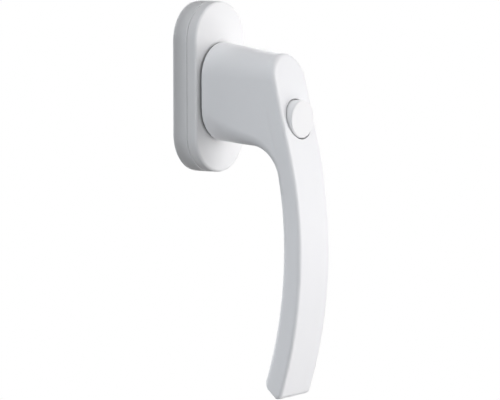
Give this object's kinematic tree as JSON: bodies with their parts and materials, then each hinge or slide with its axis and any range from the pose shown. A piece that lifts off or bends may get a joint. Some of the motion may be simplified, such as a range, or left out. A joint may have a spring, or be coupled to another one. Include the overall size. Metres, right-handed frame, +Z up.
{
  "type": "window handle",
  "caption": "Window handle with a push-button lock: oval two-layer rosette, tapered neck, bowed flat grip, square spindle and two fixing screws.",
  "frame": {"origin": "centre of the rosette's back face, where the spindle axis meets the wall plane", "axes": "+Y into the sash along the spindle, -Y out to the hand, +Z up with the grip hanging down -Z, +X across the rosette"},
  "size_m": [0.031, 0.0952, 0.1522],
  "materials": {
    "lever_white": "satin white powder coat",
    "plastic_white": "smooth white plastic",
    "zinc": "raw die-cast zinc",
    "steel": "zinc-plated steel",
    "spring_steel": "dark spring steel",
    "guide_plastic": "natural acetal",
    "grey_plastic": "grey plastic"
  },
  "bodies": {
    "base": {"base_housing": "plastic_white", "base_plate": "zinc", "nub_upper": "guide_plastic", "nub_lower": "guide_plastic", "lock_ring": "steel", "journal_bush": "guide_plastic", "detent_spring_left": "spring_steel", "detent_spring_right": "spring_steel", "screw_upper": "steel", "screw_lower": "steel"},
    "cover": {"cover_cap": "plastic_white"},
    "handle": {"handle_lever": "lever_white", "detent_cam": "guide_plastic", "thrust_washer": "guide_plastic", "circlip": "spring_steel", "spindle": "steel", "spindle_pin": "spring_steel", "button_retainer": "grey_plastic", "spring_seat": "grey_plastic", "button_spring": "steel"},
    "button": {"push_button": "plastic_white", "lock_pin": "steel"}
  },
  "joints": [
    {"name": "handle_turn", "type": "hinge", "parent": "base", "child": "handle", "pos_m": [0, 0, 0], "axis": [0, -1, 0], "range_deg": [-180, 180], "deforming": ["detent_spring_left", "detent_spring_right"]},
    {"name": "button_press", "type": "slide", "parent": "handle", "child": "button", "axis": [0, 1, 0], "range_m": [0, 0.0019], "stiffness_N_per_m": 1500, "springref_m": -0.003, "deforming": ["button_spring"]},
    {"name": "cover_turn", "type": "hinge", "parent": "base", "child": "cover", "pos_m": [0, 0, 0], "axis": [0, -1, 0], "range_deg": [-90, 90]}
  ]
}
